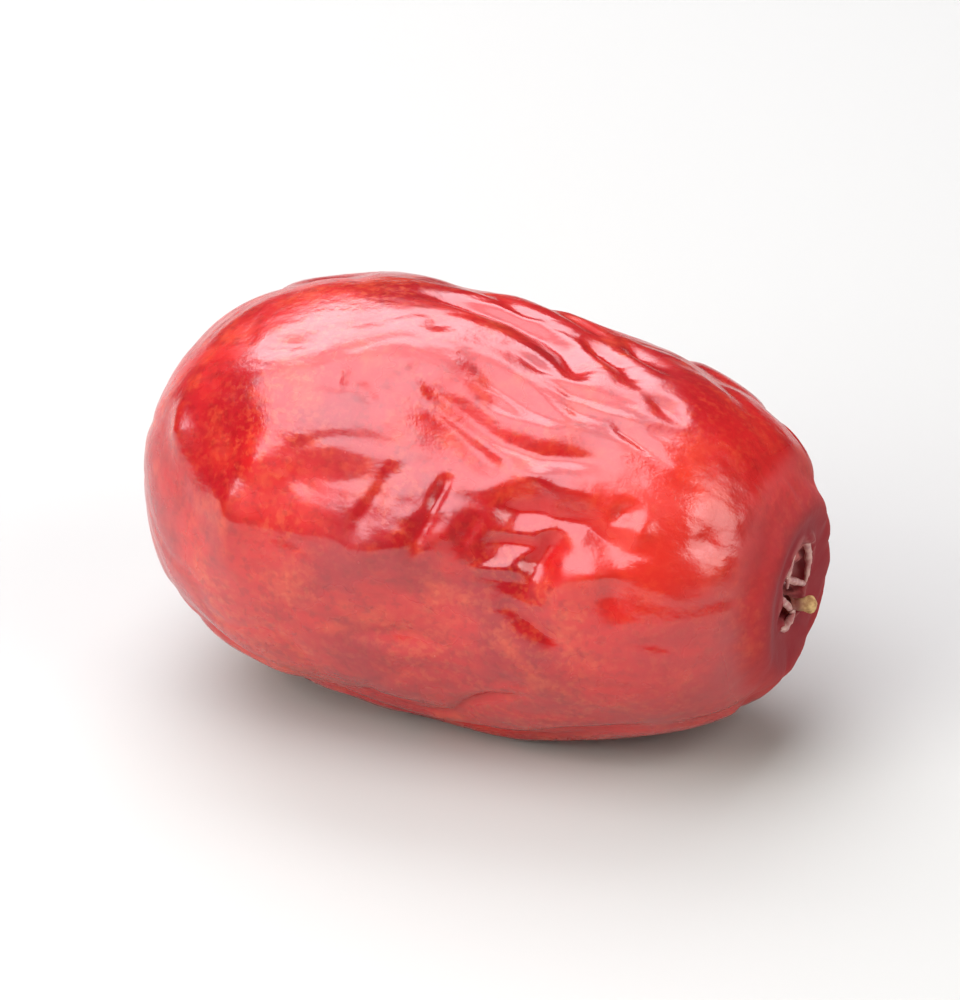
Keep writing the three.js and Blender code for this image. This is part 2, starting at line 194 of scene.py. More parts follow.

# Folds drawn on the side that faces the camera. Each is a breadth in millimetres and
# its points: millimetres along the fruit, degrees around it, and the depth there.
DRAWN_FOLDS = [
    # Long grooves over the top, and the ridges between them
    (1.2, [(-7.5, 92, 0), (-4.5, 93.5, 0.5), (-2, 95, 0.8), (1, 95.5, 0.9), (3.5, 93, 0.9),
           (5.5, 88.5, 0.8), (7.2, 82, 0.7), (8.8, 77, 0)]),
    (0.6, [(-4, 97.5, 0), (-1, 98.6, -0.3), (2.5, 98, -0.3), (5, 95, -0.2), (7, 92, 0)]),
    (3.0, [(-5, 113, 0), (0, 112, -0.4), (6, 110, -0.4), (11, 105, 0)]),
    (0.9, [(5.5, 98, 0), (7.5, 95, 0.6), (9.5, 91, 0.6), (11, 86, 0.4), (12.6, 81, 0)]),
    (0.8, [(8, 108, 0), (10, 102, 0.5), (12, 97, 0.4), (13.6, 92, 0)]),
    (0.5, [(10.4, 69, 0), (12.2, 66, 0.3), (14.2, 63, 0.3), (16.6, 59, 0)]),
    (0.7, [(12.4, 82, 0), (14.2, 78, 0.4), (16, 74, 0)]),
    (1.1, [(-2.6, 85, 0), (-3.1, 79, 0.3), (-3.4, 72, 0)]),
    # Soft streaks that run along the fruit under them
    (0.9, [(-1, 72, 0), (2.5, 67, 0.4), (6, 63, 0.35), (9, 61, 0)]),
    (0.8, [(0.5, 64, 0), (3.5, 61.5, 0.35), (6.5, 59, 0)]),
    (1.1, [(-4, 64, 0), (-1, 58.5, 0.35), (2, 55, 0.45), (5, 51, 0.5), (8, 50.5, 0.6), (10.5, 53, 0.45),
           (13, 57, 0)]),
    (1.2, [(-7, 62, 0), (-3.5, 57, 0.25), (0, 52, 0.35), (3, 47.5, 0.5), (4.6, 44.5, 0.5), (6, 40, 0)]),
    (0.9, [(4, 76, 0), (8, 72, 0.35), (13, 72, 0)]),
    (0.8, [(5, 71, 0), (9, 67, 0.35), (12, 66, 0)]),
    (0.8, [(1.5, 81, 0), (5, 77, 0.3), (9, 75, 0)]),
    (1.1, [(-8.6, 61, 0), (-8.2, 56, 0.3), (-7.7, 50, 0.2), (-7.4, 44, 0)]),
    (0.8, [(-7, 56, 0), (-5.2, 52, 0.3), (-3.5, 48, 0)]),
    (0.9, [(-15.5, 64, 0), (-12.5, 64, 0.2), (-9.5, 66, 0)]),
    (2.2, [(-9.8, 27, 0), (-8, 28, 0.45), (-5.5, 29, 0.45), (-4.2, 30, 0.35), (-2.6, 31, 0)]),
    (2.0, [(-14, 30, 0), (-12, 28, -0.5), (-10.5, 26, 0)]),
    # Short folds across the fruit, the fingers between them and the ledge that they end on
    (1.1, [(-1.6, 39.5, 0), (-2.0, 34, 0.3), (-2.4, 28, 0.45), (-2.9, 21, 0.4), (-3.5, 13, 0)]),
    (0.4, [(2.3, 39, 0), (2.1, 36, 0.3), (1.9, 31, 0.45), (1.7, 27, 0.4)]),
    (0.7, [(1.9, 29, 0.1), (1.7, 25, 0.45), (1.3, 20, 0.5), (0.6, 12, 0)]),
    (0.8, [(5.3, 33, 0), (4.9, 28, 0.2), (4.5, 23, 0.35), (4.1, 16, 0)]),
    (3.4, [(-4.5, 12, 0), (-2.2, 14, -1.2), (0, 16, -1.3), (3.0, 22, -1.1), (5.4, 24, 0)]),
    # The crumpled patch: its lip, the hollow under it and three facets
    (0.6, [(5.6, 35, 0), (6.6, 40, -0.15), (8, 43.5, -0.2), (9.4, 42, -0.15), (12.2, 43.5, -0.15),
           (14, 38, 0)]),
    (1.6, [(6.6, 31.5, 0.3), (7.6, 33, 0.75), (9.2, 35, 0.75), (10.6, 34.5, 0.5)]),
    (1.4, [(9.2, 34.5, 0.5), (10.4, 34.5, 0.65), (12.6, 35, 0.6), (14.4, 31, 0.5), (15.8, 26, 0)]),
    (1.0, [(5.6, 22, 0.2), (6.6, 23, 0.5), (8, 24, 0.6), (9.3, 24.5, 0.6), (10.6, 26, 0.7)]),
    (1.2, [(10.9, 31, 0.5), (10.5, 26, 1.0), (10, 20, 1.1), (9.7, 14, 0.4), (9.5, 10, 0)]),
    (0.8, [(4.4, 13, 0), (5.2, 15, -0.55), (7.2, 16.5, -0.55), (8.9, 17, -0.3)]),
    (1.6, [(10.8, 15.5, 0), (12, 18, -0.7), (13.6, 20, -0.7), (15.4, 23.5, -0.2)]),
    (0.7, [(14.0, 36, 0.3), (14.7, 41, 0.6), (15.6, 46, 0)]),
    (0.8, [(15.9, 31, 0), (16.1, 36, -0.35), (16.4, 43, 0)]),
    (0.9, [(7.5, 8, 0), (9.6, 3, 0.4), (11.4, -1.5, 0.4), (13, -4, 0)]),
    (1.0, [(14.6, 22, 0), (15.2, 15, 0.4), (16.5, 7, 0)]),
    # The dimple on the shoulder of the stem end
    (1.2, [(19.6, 36, 0.15), (20.5, 40, 0.3), (21.1, 45, 0.15)]),
    # Two small puckers at the blossom end, and faint grooves low on the side
    (1.1, [(-19.9, 45, 0), (-19.5, 38, -0.4), (-19.0, 31, -0.7), (-18.6, 25, -0.35), (-18.4, 19, 0)]),
    (2.0, [(-14.6, 38, 0), (-14.3, 33, 0.35), (-13.9, 27, 0.1), (-13.5, 21, -0.3), (-13.0, 16, -0.7),
           (-12.7, 12, -0.8), (-12.4, 3, -0.45), (-12.2, -6, 0)]),
    (0.9, [(-5, -16, 0), (0.6, -10, 0.3), (6.5, -14, 0)]),
    (0.9, [(15.0, 1, 0), (18.5, 1, 0.3), (22, -3, 0)]),
    (0.8, [(-6, -24, 0), (3, -21, 0.2), (13, -20, 0)]),
]
CREASE_POWER = 1.5 # below 2, a fold is sharp at its bottom
SWELL_SHARE = 0.22 # the skin beside a fold swells by this share of its depth
SWELL_REACH = 3

# Folds by rule on the sides that the photograph doesn't show
RULE_FOLD_COUNT = 44
RULE_FOLD_SEED = 3
STEM_PUCKERS = 13
BLOSSOM_PUCKERS = 9


class Field:
    """A number that varies over a surface. The usual signs between fields place Math nodes."""

    def __init__(self, tree, source):
        self.tree = tree
        self.source = source

    def math(self, operation, *terms):
        node = self.tree.nodes.new("ShaderNodeMath")
        node.operation = operation
        for socket, term in zip(node.inputs, (self, *terms)):
            join(self.tree, term, socket)
        return Field(self.tree, node.outputs[0])

    def __add__(self, other):
        return self.math("ADD", other)

    def __radd__(self, other):
        return self.math("ADD", other)

    def __sub__(self, other):
        return self.math("SUBTRACT", other)

    def __rsub__(self, other):
        return Field(self.tree, other).math("SUBTRACT", self)

    def __mul__(self, other):
        return self.math("MULTIPLY", other)

    def __rmul__(self, other):
        return self.math("MULTIPLY", other)

    def __truediv__(self, other):
        return self.math("DIVIDE", other)

    def __rtruediv__(self, other):
        return Field(self.tree, other).math("DIVIDE", self)

    def __pow__(self, other):
        return self.math("POWER", other)

    def __neg__(self):
        return self.math("MULTIPLY", -1)


def join(tree, term, socket):
    """Links a field or a socket into a socket, or sets a plain value on it."""
    if isinstance(term, Field):
        term = term.source
    if isinstance(term, bpy.types.NodeSocket):
        tree.links.new(term, socket)
    else:
        socket.default_value = term


def sine(field):
    return field.math("SINE")


def cosine(field):
    return field.math("COSINE")


def exponential(field):
    return field.math("EXPONENT")


def size_of(field):
    return field.math("ABSOLUTE")


def larger(field, other):
    return field.math("MAXIMUM", other)


def smaller(field, other):
    return field.math("MINIMUM", other)


def is_above(field, limit):
    return field.math("GREATER_THAN", limit)


def hypotenuse(a, b):
    return (a * a + b * b).math("SQRT")


def ease(field, low, high):
    """0 below low, 1 above high and a smooth step between."""
    node = field.tree.nodes.new("ShaderNodeMapRange")
    node.interpolation_type = "SMOOTHSTEP"
    join(field.tree, field, node.inputs["Value"])
    join(field.tree, low, node.inputs["From Min"])
    join(field.tree, high, node.inputs["From Max"])
    return Field(field.tree, node.outputs["Result"])


def blend(share, low, high):
    return low + share * (high - low)


def vector_of(x, y, z):
    node = x.tree.nodes.new("ShaderNodeCombineXYZ")
    for socket, term in zip(node.inputs, (x, y, z)):
        join(x.tree, term, socket)
    return node.outputs[0]


def parts_of(tree, vector):
    node = tree.nodes.new("ShaderNodeSeparateXYZ")
    join(tree, vector, node.inputs[0])
    return [Field(tree, socket) for socket in node.outputs]


def vector_math(tree, operation, *terms, output="Vector"):
    node = tree.nodes.new("ShaderNodeVectorMath")
    node.operation = operation
    sockets = [s for s in node.inputs if s.enabled]
    for socket, term in zip(sockets, terms):
        join(tree, term, socket)
    return node.outputs[output]


def place(tree, kind, **values):
    """A node of a kind, with the values of its inputs and its own settings by name."""
    node = tree.nodes.new(kind)
    for name, value in values.items():
        if hasattr(node, name):
            setattr(node, name, value)
    for name, value in values.items():
        socket = next((s for s in node.inputs if s.enabled and s.name.replace(" ", "_") == name), None)
        if socket:
            join(tree, value, socket)
    return node


def new_tree(name, kind, inputs, outputs):
    """A node group with named inputs and outputs, each a (name, socket type, value)."""
    tree = bpy.data.node_groups.new(name, kind)
    for label, socket_type, value in inputs:
        socket = tree.interface.new_socket(label, in_out="INPUT", socket_type=socket_type)
        if value is not None:
            socket.default_value = value
    for label, socket_type in outputs:
        tree.interface.new_socket(label, in_out="OUTPUT", socket_type=socket_type)
    return tree, tree.nodes.new("NodeGroupInput"), tree.nodes.new("NodeGroupOutput")


def use_group(tree, group, **values):
    kind = "GeometryNodeGroup" if tree.bl_idname == "GeometryNodeTree" else "ShaderNodeGroup"
    node = tree.nodes.new(kind)
    node.node_tree = group
    for name, value in values.items():
        join(tree, value, node.inputs[name.replace("_", " ")])
    return node


def noted(tree, geometry, name, value):
    """The geometry with a number stored on each of its points."""
    node = place(tree, "GeometryNodeStoreNamedAttribute", data_type="FLOAT", domain="POINT",
                 Geometry=geometry, Name=name, Value=value)
    return node.outputs[0]


def read_number(tree, name):
    """The number of that name that the points hold, and 0 before there is one."""
    node = place(tree, "GeometryNodeInputNamedAttribute", data_type="FLOAT", Name=name)
    return Field(tree, node.outputs["Attribute"])


def moved(tree, geometry, offset):
    return place(tree, "GeometryNodeSetPosition", Geometry=geometry, Offset=offset).outputs[0]


def dress(tree, geometry, given, result):
    """Ends a tree: real geometry, shaded smooth, in the material that the tree is given."""
    smooth = place(tree, "GeometryNodeSetShadeSmooth", Geometry=geometry)
    real = place(tree, "GeometryNodeRealizeInstances", Geometry=smooth.outputs[0])
    dressed = place(tree, "GeometryNodeSetMaterial", Geometry=real.outputs[0],
                    Material=given.outputs["Material"])
    join(tree, dressed.outputs[0], result.inputs["Geometry"])


def knobbly_tube(tree, given, curve, radius, swelling, knob_size):
    """A closed tube along a curve, as thick as its radius times the swelling, with small knobs."""
    ring = place(tree, "GeometryNodeCurvePrimitiveCircle", Resolution=given.outputs["Sides"],
                 Radius=radius)
    tube = place(tree, "GeometryNodeCurveToMesh", Curve=curve, Profile_Curve=ring.outputs[0],
                 Scale=swelling, Fill_Caps=True)
    here = tree.nodes.new("GeometryNodeInputPosition").outputs[0]
    noise = place(tree, "ShaderNodeTexNoise", Vector=here, Scale=1 / knob_size, Detail=3.0)
    outward = tree.nodes.new("GeometryNodeInputNormal").outputs[0]
    knobs = (Field(tree, noise.outputs[0]) - 0.5) * 2 * Field(tree, given.outputs["Roughness depth"])
    shaped = moved(tree, tube.outputs[0], vector_math(tree, "SCALE", outward, knobs))
    return place(tree, "GeometryNodeMergeByDistance", Geometry=shaped, Distance=1e-7).outputs[0]


def ripple_group():
    """A smooth, irregular field of about -1 to 1: plane waves of one length, whose directions
    are spread by the golden angle and whose phases come from the seed."""
    tree, given, result = new_tree(
        "ripple",
        "GeometryNodeTree",
        [
            ("Place", "NodeSocketVector", None),
            ("Wave length", "NodeSocketFloat", 10.0),
            ("Seed", "NodeSocketFloat", 1.0),
        ],
        [("Height", "NodeSocketFloat")],
    )
    seed = Field(tree, given.outputs["Seed"])
    wave_length = Field(tree, given.outputs["Wave length"])
    total = None
    for i in range(WAVE_COUNT):
        up = 1 - (2 * i + 1) / WAVE_COUNT
        level = math.sqrt(1 - up * up)
        turn = (seed + i) * GOLDEN_ANGLE
        direction = vector_of(cosine(turn) * level, sine(turn) * level, up)
        along = vector_math(tree, "DOT_PRODUCT", given.outputs["Place"], direction, output="Value")
        wave = sine(Field(tree, along) * (2 * math.pi) / wave_length + seed * (i * i + 1))
        total = wave if total is None else total + wave
    join(tree, total / math.sqrt(WAVE_COUNT), result.inputs["Height"])
    return tree


def plump_point(tree, polar_cos, polar_sin, side, rise, length, width, height, taper):
    """A point of the plump fruit. side and rise are the direction across the fruit."""
    fullness = BLOSSOM_FULLNESS + is_above(polar_cos, 0) * (STEM_FULLNESS - BLOSSOM_FULLNESS)
    across = (polar_sin * length / width) ** fullness
    along = size_of(polar_cos) ** fullness
    reach = (length / 2) / ((along + across) ** (1 / fullness))
    x = reach * polar_cos
    radius = reach * polar_sin * (1 - taper * x / length)
    return x, radius * side, radius * rise * height / width


def skin_tree():
    """The dried skin: a sphere drawn out to the plump fruit, wrinkled, folded and laid down."""
    ripple = ripple_group()
    tree, given, result = new_tree(
        "dried skin",
        "GeometryNodeTree",
        [
            ("Sides", "NodeSocketInt", SIDES),
            ("Rings", "NodeSocketInt", RINGS),
            ("Length", "NodeSocketFloat", LENGTH),
            ("Width", "NodeSocketFloat", WIDTH),
            ("Height", "NodeSocketFloat", HEIGHT),
            ("Taper", "NodeSocketFloat", TAPER),
            ("Dent depth", "NodeSocketFloat", DENT_DEPTH),
            ("Wrinkle depth", "NodeSocketFloat", WRINKLE_DEPTH),
            ("Fold depth", "NodeSocketFloat", 1.0),
            ("Fine depth", "NodeSocketFloat", FINE_DEPTH),
            ("Folds", "NodeSocketObject", None),
            ("Material", "NodeSocketMaterial", None),
        ],
        [("Geometry", "NodeSocketGeometry")],
    )

    def wish(name):
        return Field(tree, given.outputs[name])

    length, width, height = wish("Length"), wish("Width"), wish("Height")

    # A field is worked out anew at each step, so here is the place that the step before gives
    here = tree.nodes.new("GeometryNodeInputPosition").outputs[0]
    px, py, pz = parts_of(tree, here)
    from_axis = hypotenuse(py, pz)

    # The sphere's own Z becomes the length of the fruit
    sphere = place(tree, "GeometryNodeMeshUVSphere", Segments=given.outputs["Sides"],
                   Rings=given.outputs["Rings"], Radius=1.0)
    laid_out = place(tree, "GeometryNodeStoreNamedAttribute", data_type="FLOAT2", domain="CORNER",
                     Geometry=sphere.outputs["Mesh"], Name="UVMap", Value=sphere.outputs["UV Map"])
    share = pz.math("ARCCOSINE") / math.pi
    polar = (share - RING_GATHER * sine(share * (2 * math.pi))) * math.pi
    level = larger(hypotenuse(px, py), 1e-6)
    x, y, z = plump_point(tree, cosine(polar), sine(polar), -(px / level), -(py / level),
                          length, width, height, wish("Taper"))
    plump = place(tree, "GeometryNodeSetPosition", Geometry=laid_out.outputs[0],
                  Position=vector_of(x, y, z))

    # Each turn of the zone presses one stretch of a fold into the skin
    folds = place(tree, "GeometryNodeObjectInfo", Object=given.outputs["Folds"])
    count = place(tree, "GeometryNodeAttributeDomainSize", Geometry=folds.outputs["Geometry"])
    turn_start = tree.nodes.new("GeometryNodeRepeatInput")
    turn_end = tree.nodes.new("GeometryNodeRepeatOutput")
    turn_start.pair_with_output(turn_end)
    join(tree, count.outputs["Point Count"], turn_start.inputs["Iterations"])
    join(tree, plump.outputs[0], turn_start.inputs["Geometry"])

    def of_fold(name, data_type):
        read = place(tree, "GeometryNodeInputNamedAttribute", data_type=data_type, Name=name)
        taken = tree.nodes.new("GeometryNodeSampleIndex")
        taken.data_type = data_type
        join(tree, folds.outputs["Geometry"], taken.inputs["Geometry"])
        join(tree, read.outputs["Attribute"], taken.inputs["Value"])
        join(tree, turn_start.outputs["Iteration"], taken.inputs["Index"])
        return taken.outputs["Value"]

    start = of_fold("position", "FLOAT_VECTOR")
    run = vector_math(tree, "SUBTRACT", of_fold("fold_end", "FLOAT_VECTOR"), start)
    away = vector_math(tree, "SUBTRACT", here, start)
    share_along = Field(tree, vector_math(tree, "DOT_PRODUCT", away, run, output="Value"))
    share_along = share_along / Field(tree, vector_math(tree, "DOT_PRODUCT", run, run, output="Value"))
    share_along = smaller(larger(share_along, 0), 1)
    foot = vector_math(tree, "SCALE", run, share_along)
    gap = Field(tree, vector_math(tree, "DISTANCE", away, foot, output="Value"))
    depth_start = Field(tree, of_fold("depth_start", "FLOAT"))
    depth_end = Field(tree, of_fold("depth_end", "FLOAT"))
    depth = blend(share_along, depth_start, depth_end)
    steps = gap / Field(tree, of_fold("breadth", "FLOAT"))
    pressed = depth * exponential(-(steps ** CREASE_POWER))
    swollen = size_of(depth) * exponential(-((steps / SWELL_REACH) ** 2))
    folded_in = turn_start.outputs["Geometry"]
    for name, height_here in (("groove", pressed), ("ridge", -pressed), ("swell", swollen)):
        folded_in = noted(tree, folded_in, name, larger(read_number(tree, name), height_here))
    join(tree, folded_in, turn_end.inputs["Geometry"])

    # Dents and wrinkles by rule
    def ripple_at(place_vector, wave_length, seed):
        node = use_group(tree, ripple, Place=place_vector, Wave_length=wave_length, Seed=seed)
        return Field(tree, node.outputs["Height"])

    dent = wish("Dent depth") * ripple_at(here, DENT_LENGTH, 2)
    sway = SWAY_DEPTH * ripple_at(here, SWAY_LENGTH, 4)
    wander_x = WRINKLE_WANDER * ripple_at(here, WANDER_LENGTH, 5)
    wander_y = WRINKLE_WANDER * ripple_at(here, WANDER_LENGTH, 7)
    wandered = vector_of((px + wander_x) / WRINKLE_STRETCH, py + wander_y, pz + wander_x)
    wave = ripple_at(wandered, WRINKLE_LENGTH, 3)
    crest = wave / WRINKLE_BREADTH
    wrinkle = wish("Wrinkle depth") * exponential(-(crest * crest))
    facing = (pz * math.sin(DRAWN_SIDE) - py * math.cos(DRAWN_SIDE)) / larger(from_axis, 1e-6)
    unseen = 1 - ease(facing, 0.0, 0.6)
    wrinkle_share = DRAWN_SIDE_WRINKLES + (1 - DRAWN_SIDE_WRINKLES) * unseen
    groove_depth = read_number(tree, "groove") * wish("Fold depth")
    swell = read_number(tree, "swell") * SWELL_SHARE
    raised = (read_number(tree, "ridge") + swell) * wish("Fold depth")
    folded = raised - groove_depth * (1 + SWELL_SHARE) - wrinkle * wrinkle_share
    from_spot = hypotenuse(px / SPOT_STRETCH, py)
    calm = larger(is_above(pz, 0), ease(from_spot, SPOT_INNER, SPOT_OUTER))
    relief = dent + (sway + folded) * calm
    near_pole = ease(from_axis, PIT_RADIUS, BASIN_RADIUS * 1.4)
    outward = vector_math(
        tree, "NORMALIZE",
        vector_of(px / (LENGTH * LENGTH), py / (WIDTH * WIDTH), pz / (HEIGHT * HEIGHT)))
    lifted = vector_math(tree, "SCALE", outward, relief * near_pole)
    wrinkled = moved(tree, turn_end.outputs["Geometry"], lifted)
    # How deep each point lies in a fold, kept for the painted shade in the folds
    wrinkled = noted(tree, wrinkled, "valley", groove_depth + wrinkle * unseen)

    # The basin and the pit of the stem end
    stem_half = is_above(px, 0)
    basin = 1 - ease(from_axis, BASIN_RADIUS * 0.4, BASIN_RADIUS)
    rim = exponential(-(((from_axis - BASIN_RADIUS) / RIM_BREADTH) ** 2))
    ragged = ripple_at(here, RAGGED_LENGTH, 6)
    from_pit = hypotenuse(py - PIT_SIDE, pz - PIT_RISE) + 0.25 * ragged
    pit = 1 - ease(from_pit, PIT_RADIUS * 0.75, PIT_RADIUS)
    lip = exponential(-(((from_pit - PIT_RADIUS * 1.08) / LIP_BREADTH) ** 2)) * (0.75 + 0.5 * ragged)
    from_hole = hypotenuse(py - HOLE_SIDE, pz - HOLE_RISE) + 0.2 * ragged
    hole = 1 - ease(from_hole, HOLE_RADIUS * 0.4, HOLE_RADIUS)
    lower_half = 1 - ease(pz, -1.0, 1.6)
    plug = PLUG_SHARE + (1 - PLUG_SHARE) * lower_half
    crumbs = pit * CRUMB_HEIGHT * ripple_at(here, CRUMB_LENGTH, 8) + hole * HOLE_DEPTH
    sunk = basin * BASIN_DEPTH + pit * PIT_DEPTH * plug + crumbs - rim * RIM_HEIGHT - lip * LIP_HEIGHT
    sunk = stem_half * sunk
    dimple = (1 - stem_half) * (1 - ease(from_axis, 0, DIMPLE_RADIUS))
    marked = moved(tree, wrinkled, vector_of(dimple * DIMPLE_DEPTH - sunk, 0, 0))
    for name, mask in (
        ("basin", stem_half * (1 - ease(from_axis, BASIN_RADIUS * 0.8, BASIN_RADIUS * 1.2))),
        ("hole", stem_half * (1 - ease(from_hole, HOLE_RADIUS * 0.6, HOLE_RADIUS * 1.1))),
        ("pit", stem_half * (1 - ease(from_pit, PIT_RADIUS * 0.85, PIT_RADIUS * 1.0))),
        ("lip", stem_half * smaller(lip, 1)),
        ("dimple", (1 - stem_half) * (1 - ease(from_axis, DIMPLE_RADIUS * 0.15, DIMPLE_RADIUS))),
    ):
        marked = noted(tree, marked, name, mask)

    # Fine wrinkles, quiet at the blossom end and gone in the basin
    fine_place = vector_of(px / FINE_STRETCH, py, pz)
    noise = place(tree, "ShaderNodeTexNoise", Vector=fine_place, Scale=1 / FINE_LENGTH, Detail=2.0,
                  Roughness=0.55, Distortion=0.3)
    fine = (Field(tree, noise.outputs[0]) - 0.5) * 2 * wish("Fine depth")
    outward_now = tree.nodes.new("GeometryNodeInputNormal").outputs[0]
    fine_share = FINE_QUIET_SHARE + (1 - FINE_QUIET_SHARE) * ease(px, -12, -4)
    fine_move = vector_math(tree, "SCALE", outward_now, fine * fine_share * (1 - basin * stem_half))
    marked = moved(tree, marked, fine_move)

    # The stem end tips down, the fruit is lifted onto the table and its spot flattened
    tipped_x = px * math.cos(NOSE_DOWN) + pz * math.sin(NOSE_DOWN)
    tipped_z = pz * math.cos(NOSE_DOWN) - px * math.sin(NOSE_DOWN)
    lift = tipped_z + (height / 2 - SINK)
    rounded = (lift + SPOT_BLEND) * (lift + SPOT_BLEND) / (4 * SPOT_BLEND)
    above = is_above(lift, SPOT_BLEND)
    within = is_above(lift, -SPOT_BLEND) - above
    settled = above * lift + within * rounded
    laid = place(tree, "GeometryNodeSetPosition", Geometry=marked,
                 Position=vector_of(tipped_x * MM, py * MM, settled * MM))
    dress(tree, laid.outputs[0], given, result)
    return tree


def plain_point(x, around):
    """The point of the plump fruit that lies x millimetres along and so many degrees around."""
    fullness = STEM_FULLNESS if x > 0 else BLOSSOM_FULLNESS
    share = min(abs(x) / (LENGTH / 2), 0.999)
    # On the superellipse, the plain width follows from what the length leaves over
    radius = (WIDTH / 2) * (1 - share**fullness) ** (1 / fullness) * (1 - TAPER * x / LENGTH)
    angle = math.radians(around)
    return Vector((x, -radius * math.cos(angle), radius * math.sin(angle) * HEIGHT / WIDTH))


def rule_folds():
    """Wavy folds along the back and the underside, spread by the golden ratio."""
    folds = []
    for i in range(RULE_FOLD_COUNT):
        spread = (i * GOLDEN_SHARE + 0.13) % 1
        x = -17 + 34 * spread
        around = 122 + 208 * (i + 0.5) / RULE_FOLD_COUNT
        reach = 3 + 3.5 * ((i * GOLDEN_SHARE * 3 + 0.4) % 1)
        swing = 8 * math.sin(RULE_FOLD_SEED + 2.3 * i)
        depth = 0.35 + 0.45 * ((i * GOLDEN_SHARE * 5 + 0.7) % 1)
        breadth = 0.7 + 0.5 * ((i * GOLDEN_SHARE * 7) % 1)
        points = [
            (max(x - reach, -23), around - swing, 0.05),
            (x, around + swing * 0.4, depth),
            (min(x + reach, 22), around + swing, 0.05),
        ]
        folds.append((breadth, points))
    return folds


def end_folds():
    """Short puckers that run over the rim of the stem end and into the blossom end."""
    folds = []
    for i in range(STEM_PUCKERS):
        around = 360 * (i + 0.3 * math.sin(5 * i)) / STEM_PUCKERS
        depth = 0.16 + 0.1 * math.sin(3 * i)
        folds.append((0.6, [(24.4, around, 0), (23.6, around + 3, depth), (21 - i % 3, around - 4, 0)]))
    for i in range(BLOSSOM_PUCKERS):
        around = 360 * (i + 0.25 * math.sin(4 * i)) / BLOSSOM_PUCKERS
        depth = 0.3 + 0.12 * math.sin(2 * i)
        points = [(-24.97, around, 0.1), (-24.4, around + 5, depth), (-22.4 + i % 2, around - 3, 0)]
        folds.append((0.6, points))
    return folds


def fold_strokes(folds):
    """One vertex for each straight stretch of the folds, with where it ends and how deep it is."""
    rows = []
    for breadth, points in folds:
        for first, second in zip(points, points[1:]):
            start = plain_point(*first[:2])
            end = plain_point(*second[:2])
            rows.append((start, end, first[2], second[2], breadth))
    mesh = bpy.data.meshes.new("fold_strokes")
    mesh.from_pydata([row[0] for row in rows], [], [])
    ends = mesh.attributes.new("fold_end", "FLOAT_VECTOR", "POINT")
    ends.data.foreach_set("vector", np.array([row[1] for row in rows], np.float32).ravel())
    for name, column in (("depth_start", 2), ("depth_end", 3), ("breadth", 4)):
        values = mesh.attributes.new(name, "FLOAT", "POINT")
        values.data.foreach_set("value", np.array([row[column] for row in rows], np.float32))
    strokes = bpy.data.objects.new("fold_strokes", mesh)
    bpy.context.scene.collection.objects.link(strokes)
    return strokes


def grown(name, tree, **wishes):
    """The plain mesh that a Geometry Nodes tree makes, as a new object."""
    seedling = bpy.data.objects.new(name + "_seedling", bpy.data.meshes.new(name + "_seedling"))
    bpy.context.scene.collection.objects.link(seedling)
    modifier = seedling.modifiers.new("growth", "NODES")
    modifier.node_group = tree
    identifiers = {s.name: s.identifier for s in tree.interface.items_tree if s.in_out == "INPUT"}
    for label, value in wishes.items():
        identifier = identifiers[label.replace("_", " ")]
        modifier[identifier] = value[:] if isinstance(value, Vector) else value
    evaluated = seedling.evaluated_get(bpy.context.evaluated_depsgraph_get())
    mesh = bpy.data.meshes.new_from_object(evaluated)
    mesh.name = name
    bpy.data.objects.remove(seedling)
    piece = bpy.data.objects.new(name, mesh)
    bpy.context.scene.collection.objects.link(piece)
    return piece


def corners_of(piece):
    points = np.zeros(len(piece.data.vertices) * 3, np.float32)
    piece.data.vertices.foreach_get("co", points)
    points = points.reshape(-1, 3)
    return points.min(0), points.max(0)


def mottle_group():
    """Soft patches, for colour that drifts over a surface."""
    tree, given, result = new_tree(
        "mottle",
        "ShaderNodeTree",
        [
            ("Place", "NodeSocketVector", None),
            ("Patch size", "NodeSocketFloat", 0.005),
            ("Detail", "NodeSocketFloat", 3.0),
            ("Low", "NodeSocketFloat", 0.4),
            ("High", "NodeSocketFloat", 0.6),
        ],
        [("Mask", "NodeSocketFloat")],
    )
    scale = 1 / Field(tree, given.outputs["Patch size"])
    noise = place(tree, "ShaderNodeTexNoise", Vector=given.outputs["Place"], Scale=scale,
                  Detail=given.outputs["Detail"], Roughness=0.55)
    mask = ease(Field(tree, noise.outputs[0]), given.outputs["Low"], given.outputs["High"])
    join(tree, mask, result.inputs["Mask"])
    return tree


def speckle_group():
    """Small soft dots. Only a share of them, the cover, is there."""
    tree, given, result = new_tree(
        "speckle",
        "ShaderNodeTree",
        [
            ("Place", "NodeSocketVector", None),
            ("Spacing", "NodeSocketFloat", 0.0005),
            ("Dot size", "NodeSocketFloat", 0.5),
            ("Cover", "NodeSocketFloat", 0.5),
        ],
        [("Mask", "NodeSocketFloat")],
    )
    scale = 1 / Field(tree, given.outputs["Spacing"])
    cells = place(tree, "ShaderNodeTexVoronoi", Vector=given.outputs["Place"], Scale=scale,
                  Randomness=1.0)
    size = Field(tree, given.outputs["Dot size"])
    dot = 1 - ease(Field(tree, cells.outputs["Distance"]), size * 0.3, size)
    chance = parts_of_colour(tree, cells.outputs["Color"])[0]
    there = chance.math("LESS_THAN", given.outputs["Cover"])
    join(tree, dot * there, result.inputs["Mask"])
    return tree


def parts_of_colour(tree, colour):
    node = tree.nodes.new("ShaderNodeSeparateColor")
    join(tree, colour, node.inputs[0])
    return [Field(tree, socket) for socket in node.outputs]


def attribute_field(tree, name):
    node = tree.nodes.new("ShaderNodeAttribute")
    node.attribute_name = name
    return Field(tree, node.outputs["Fac"])


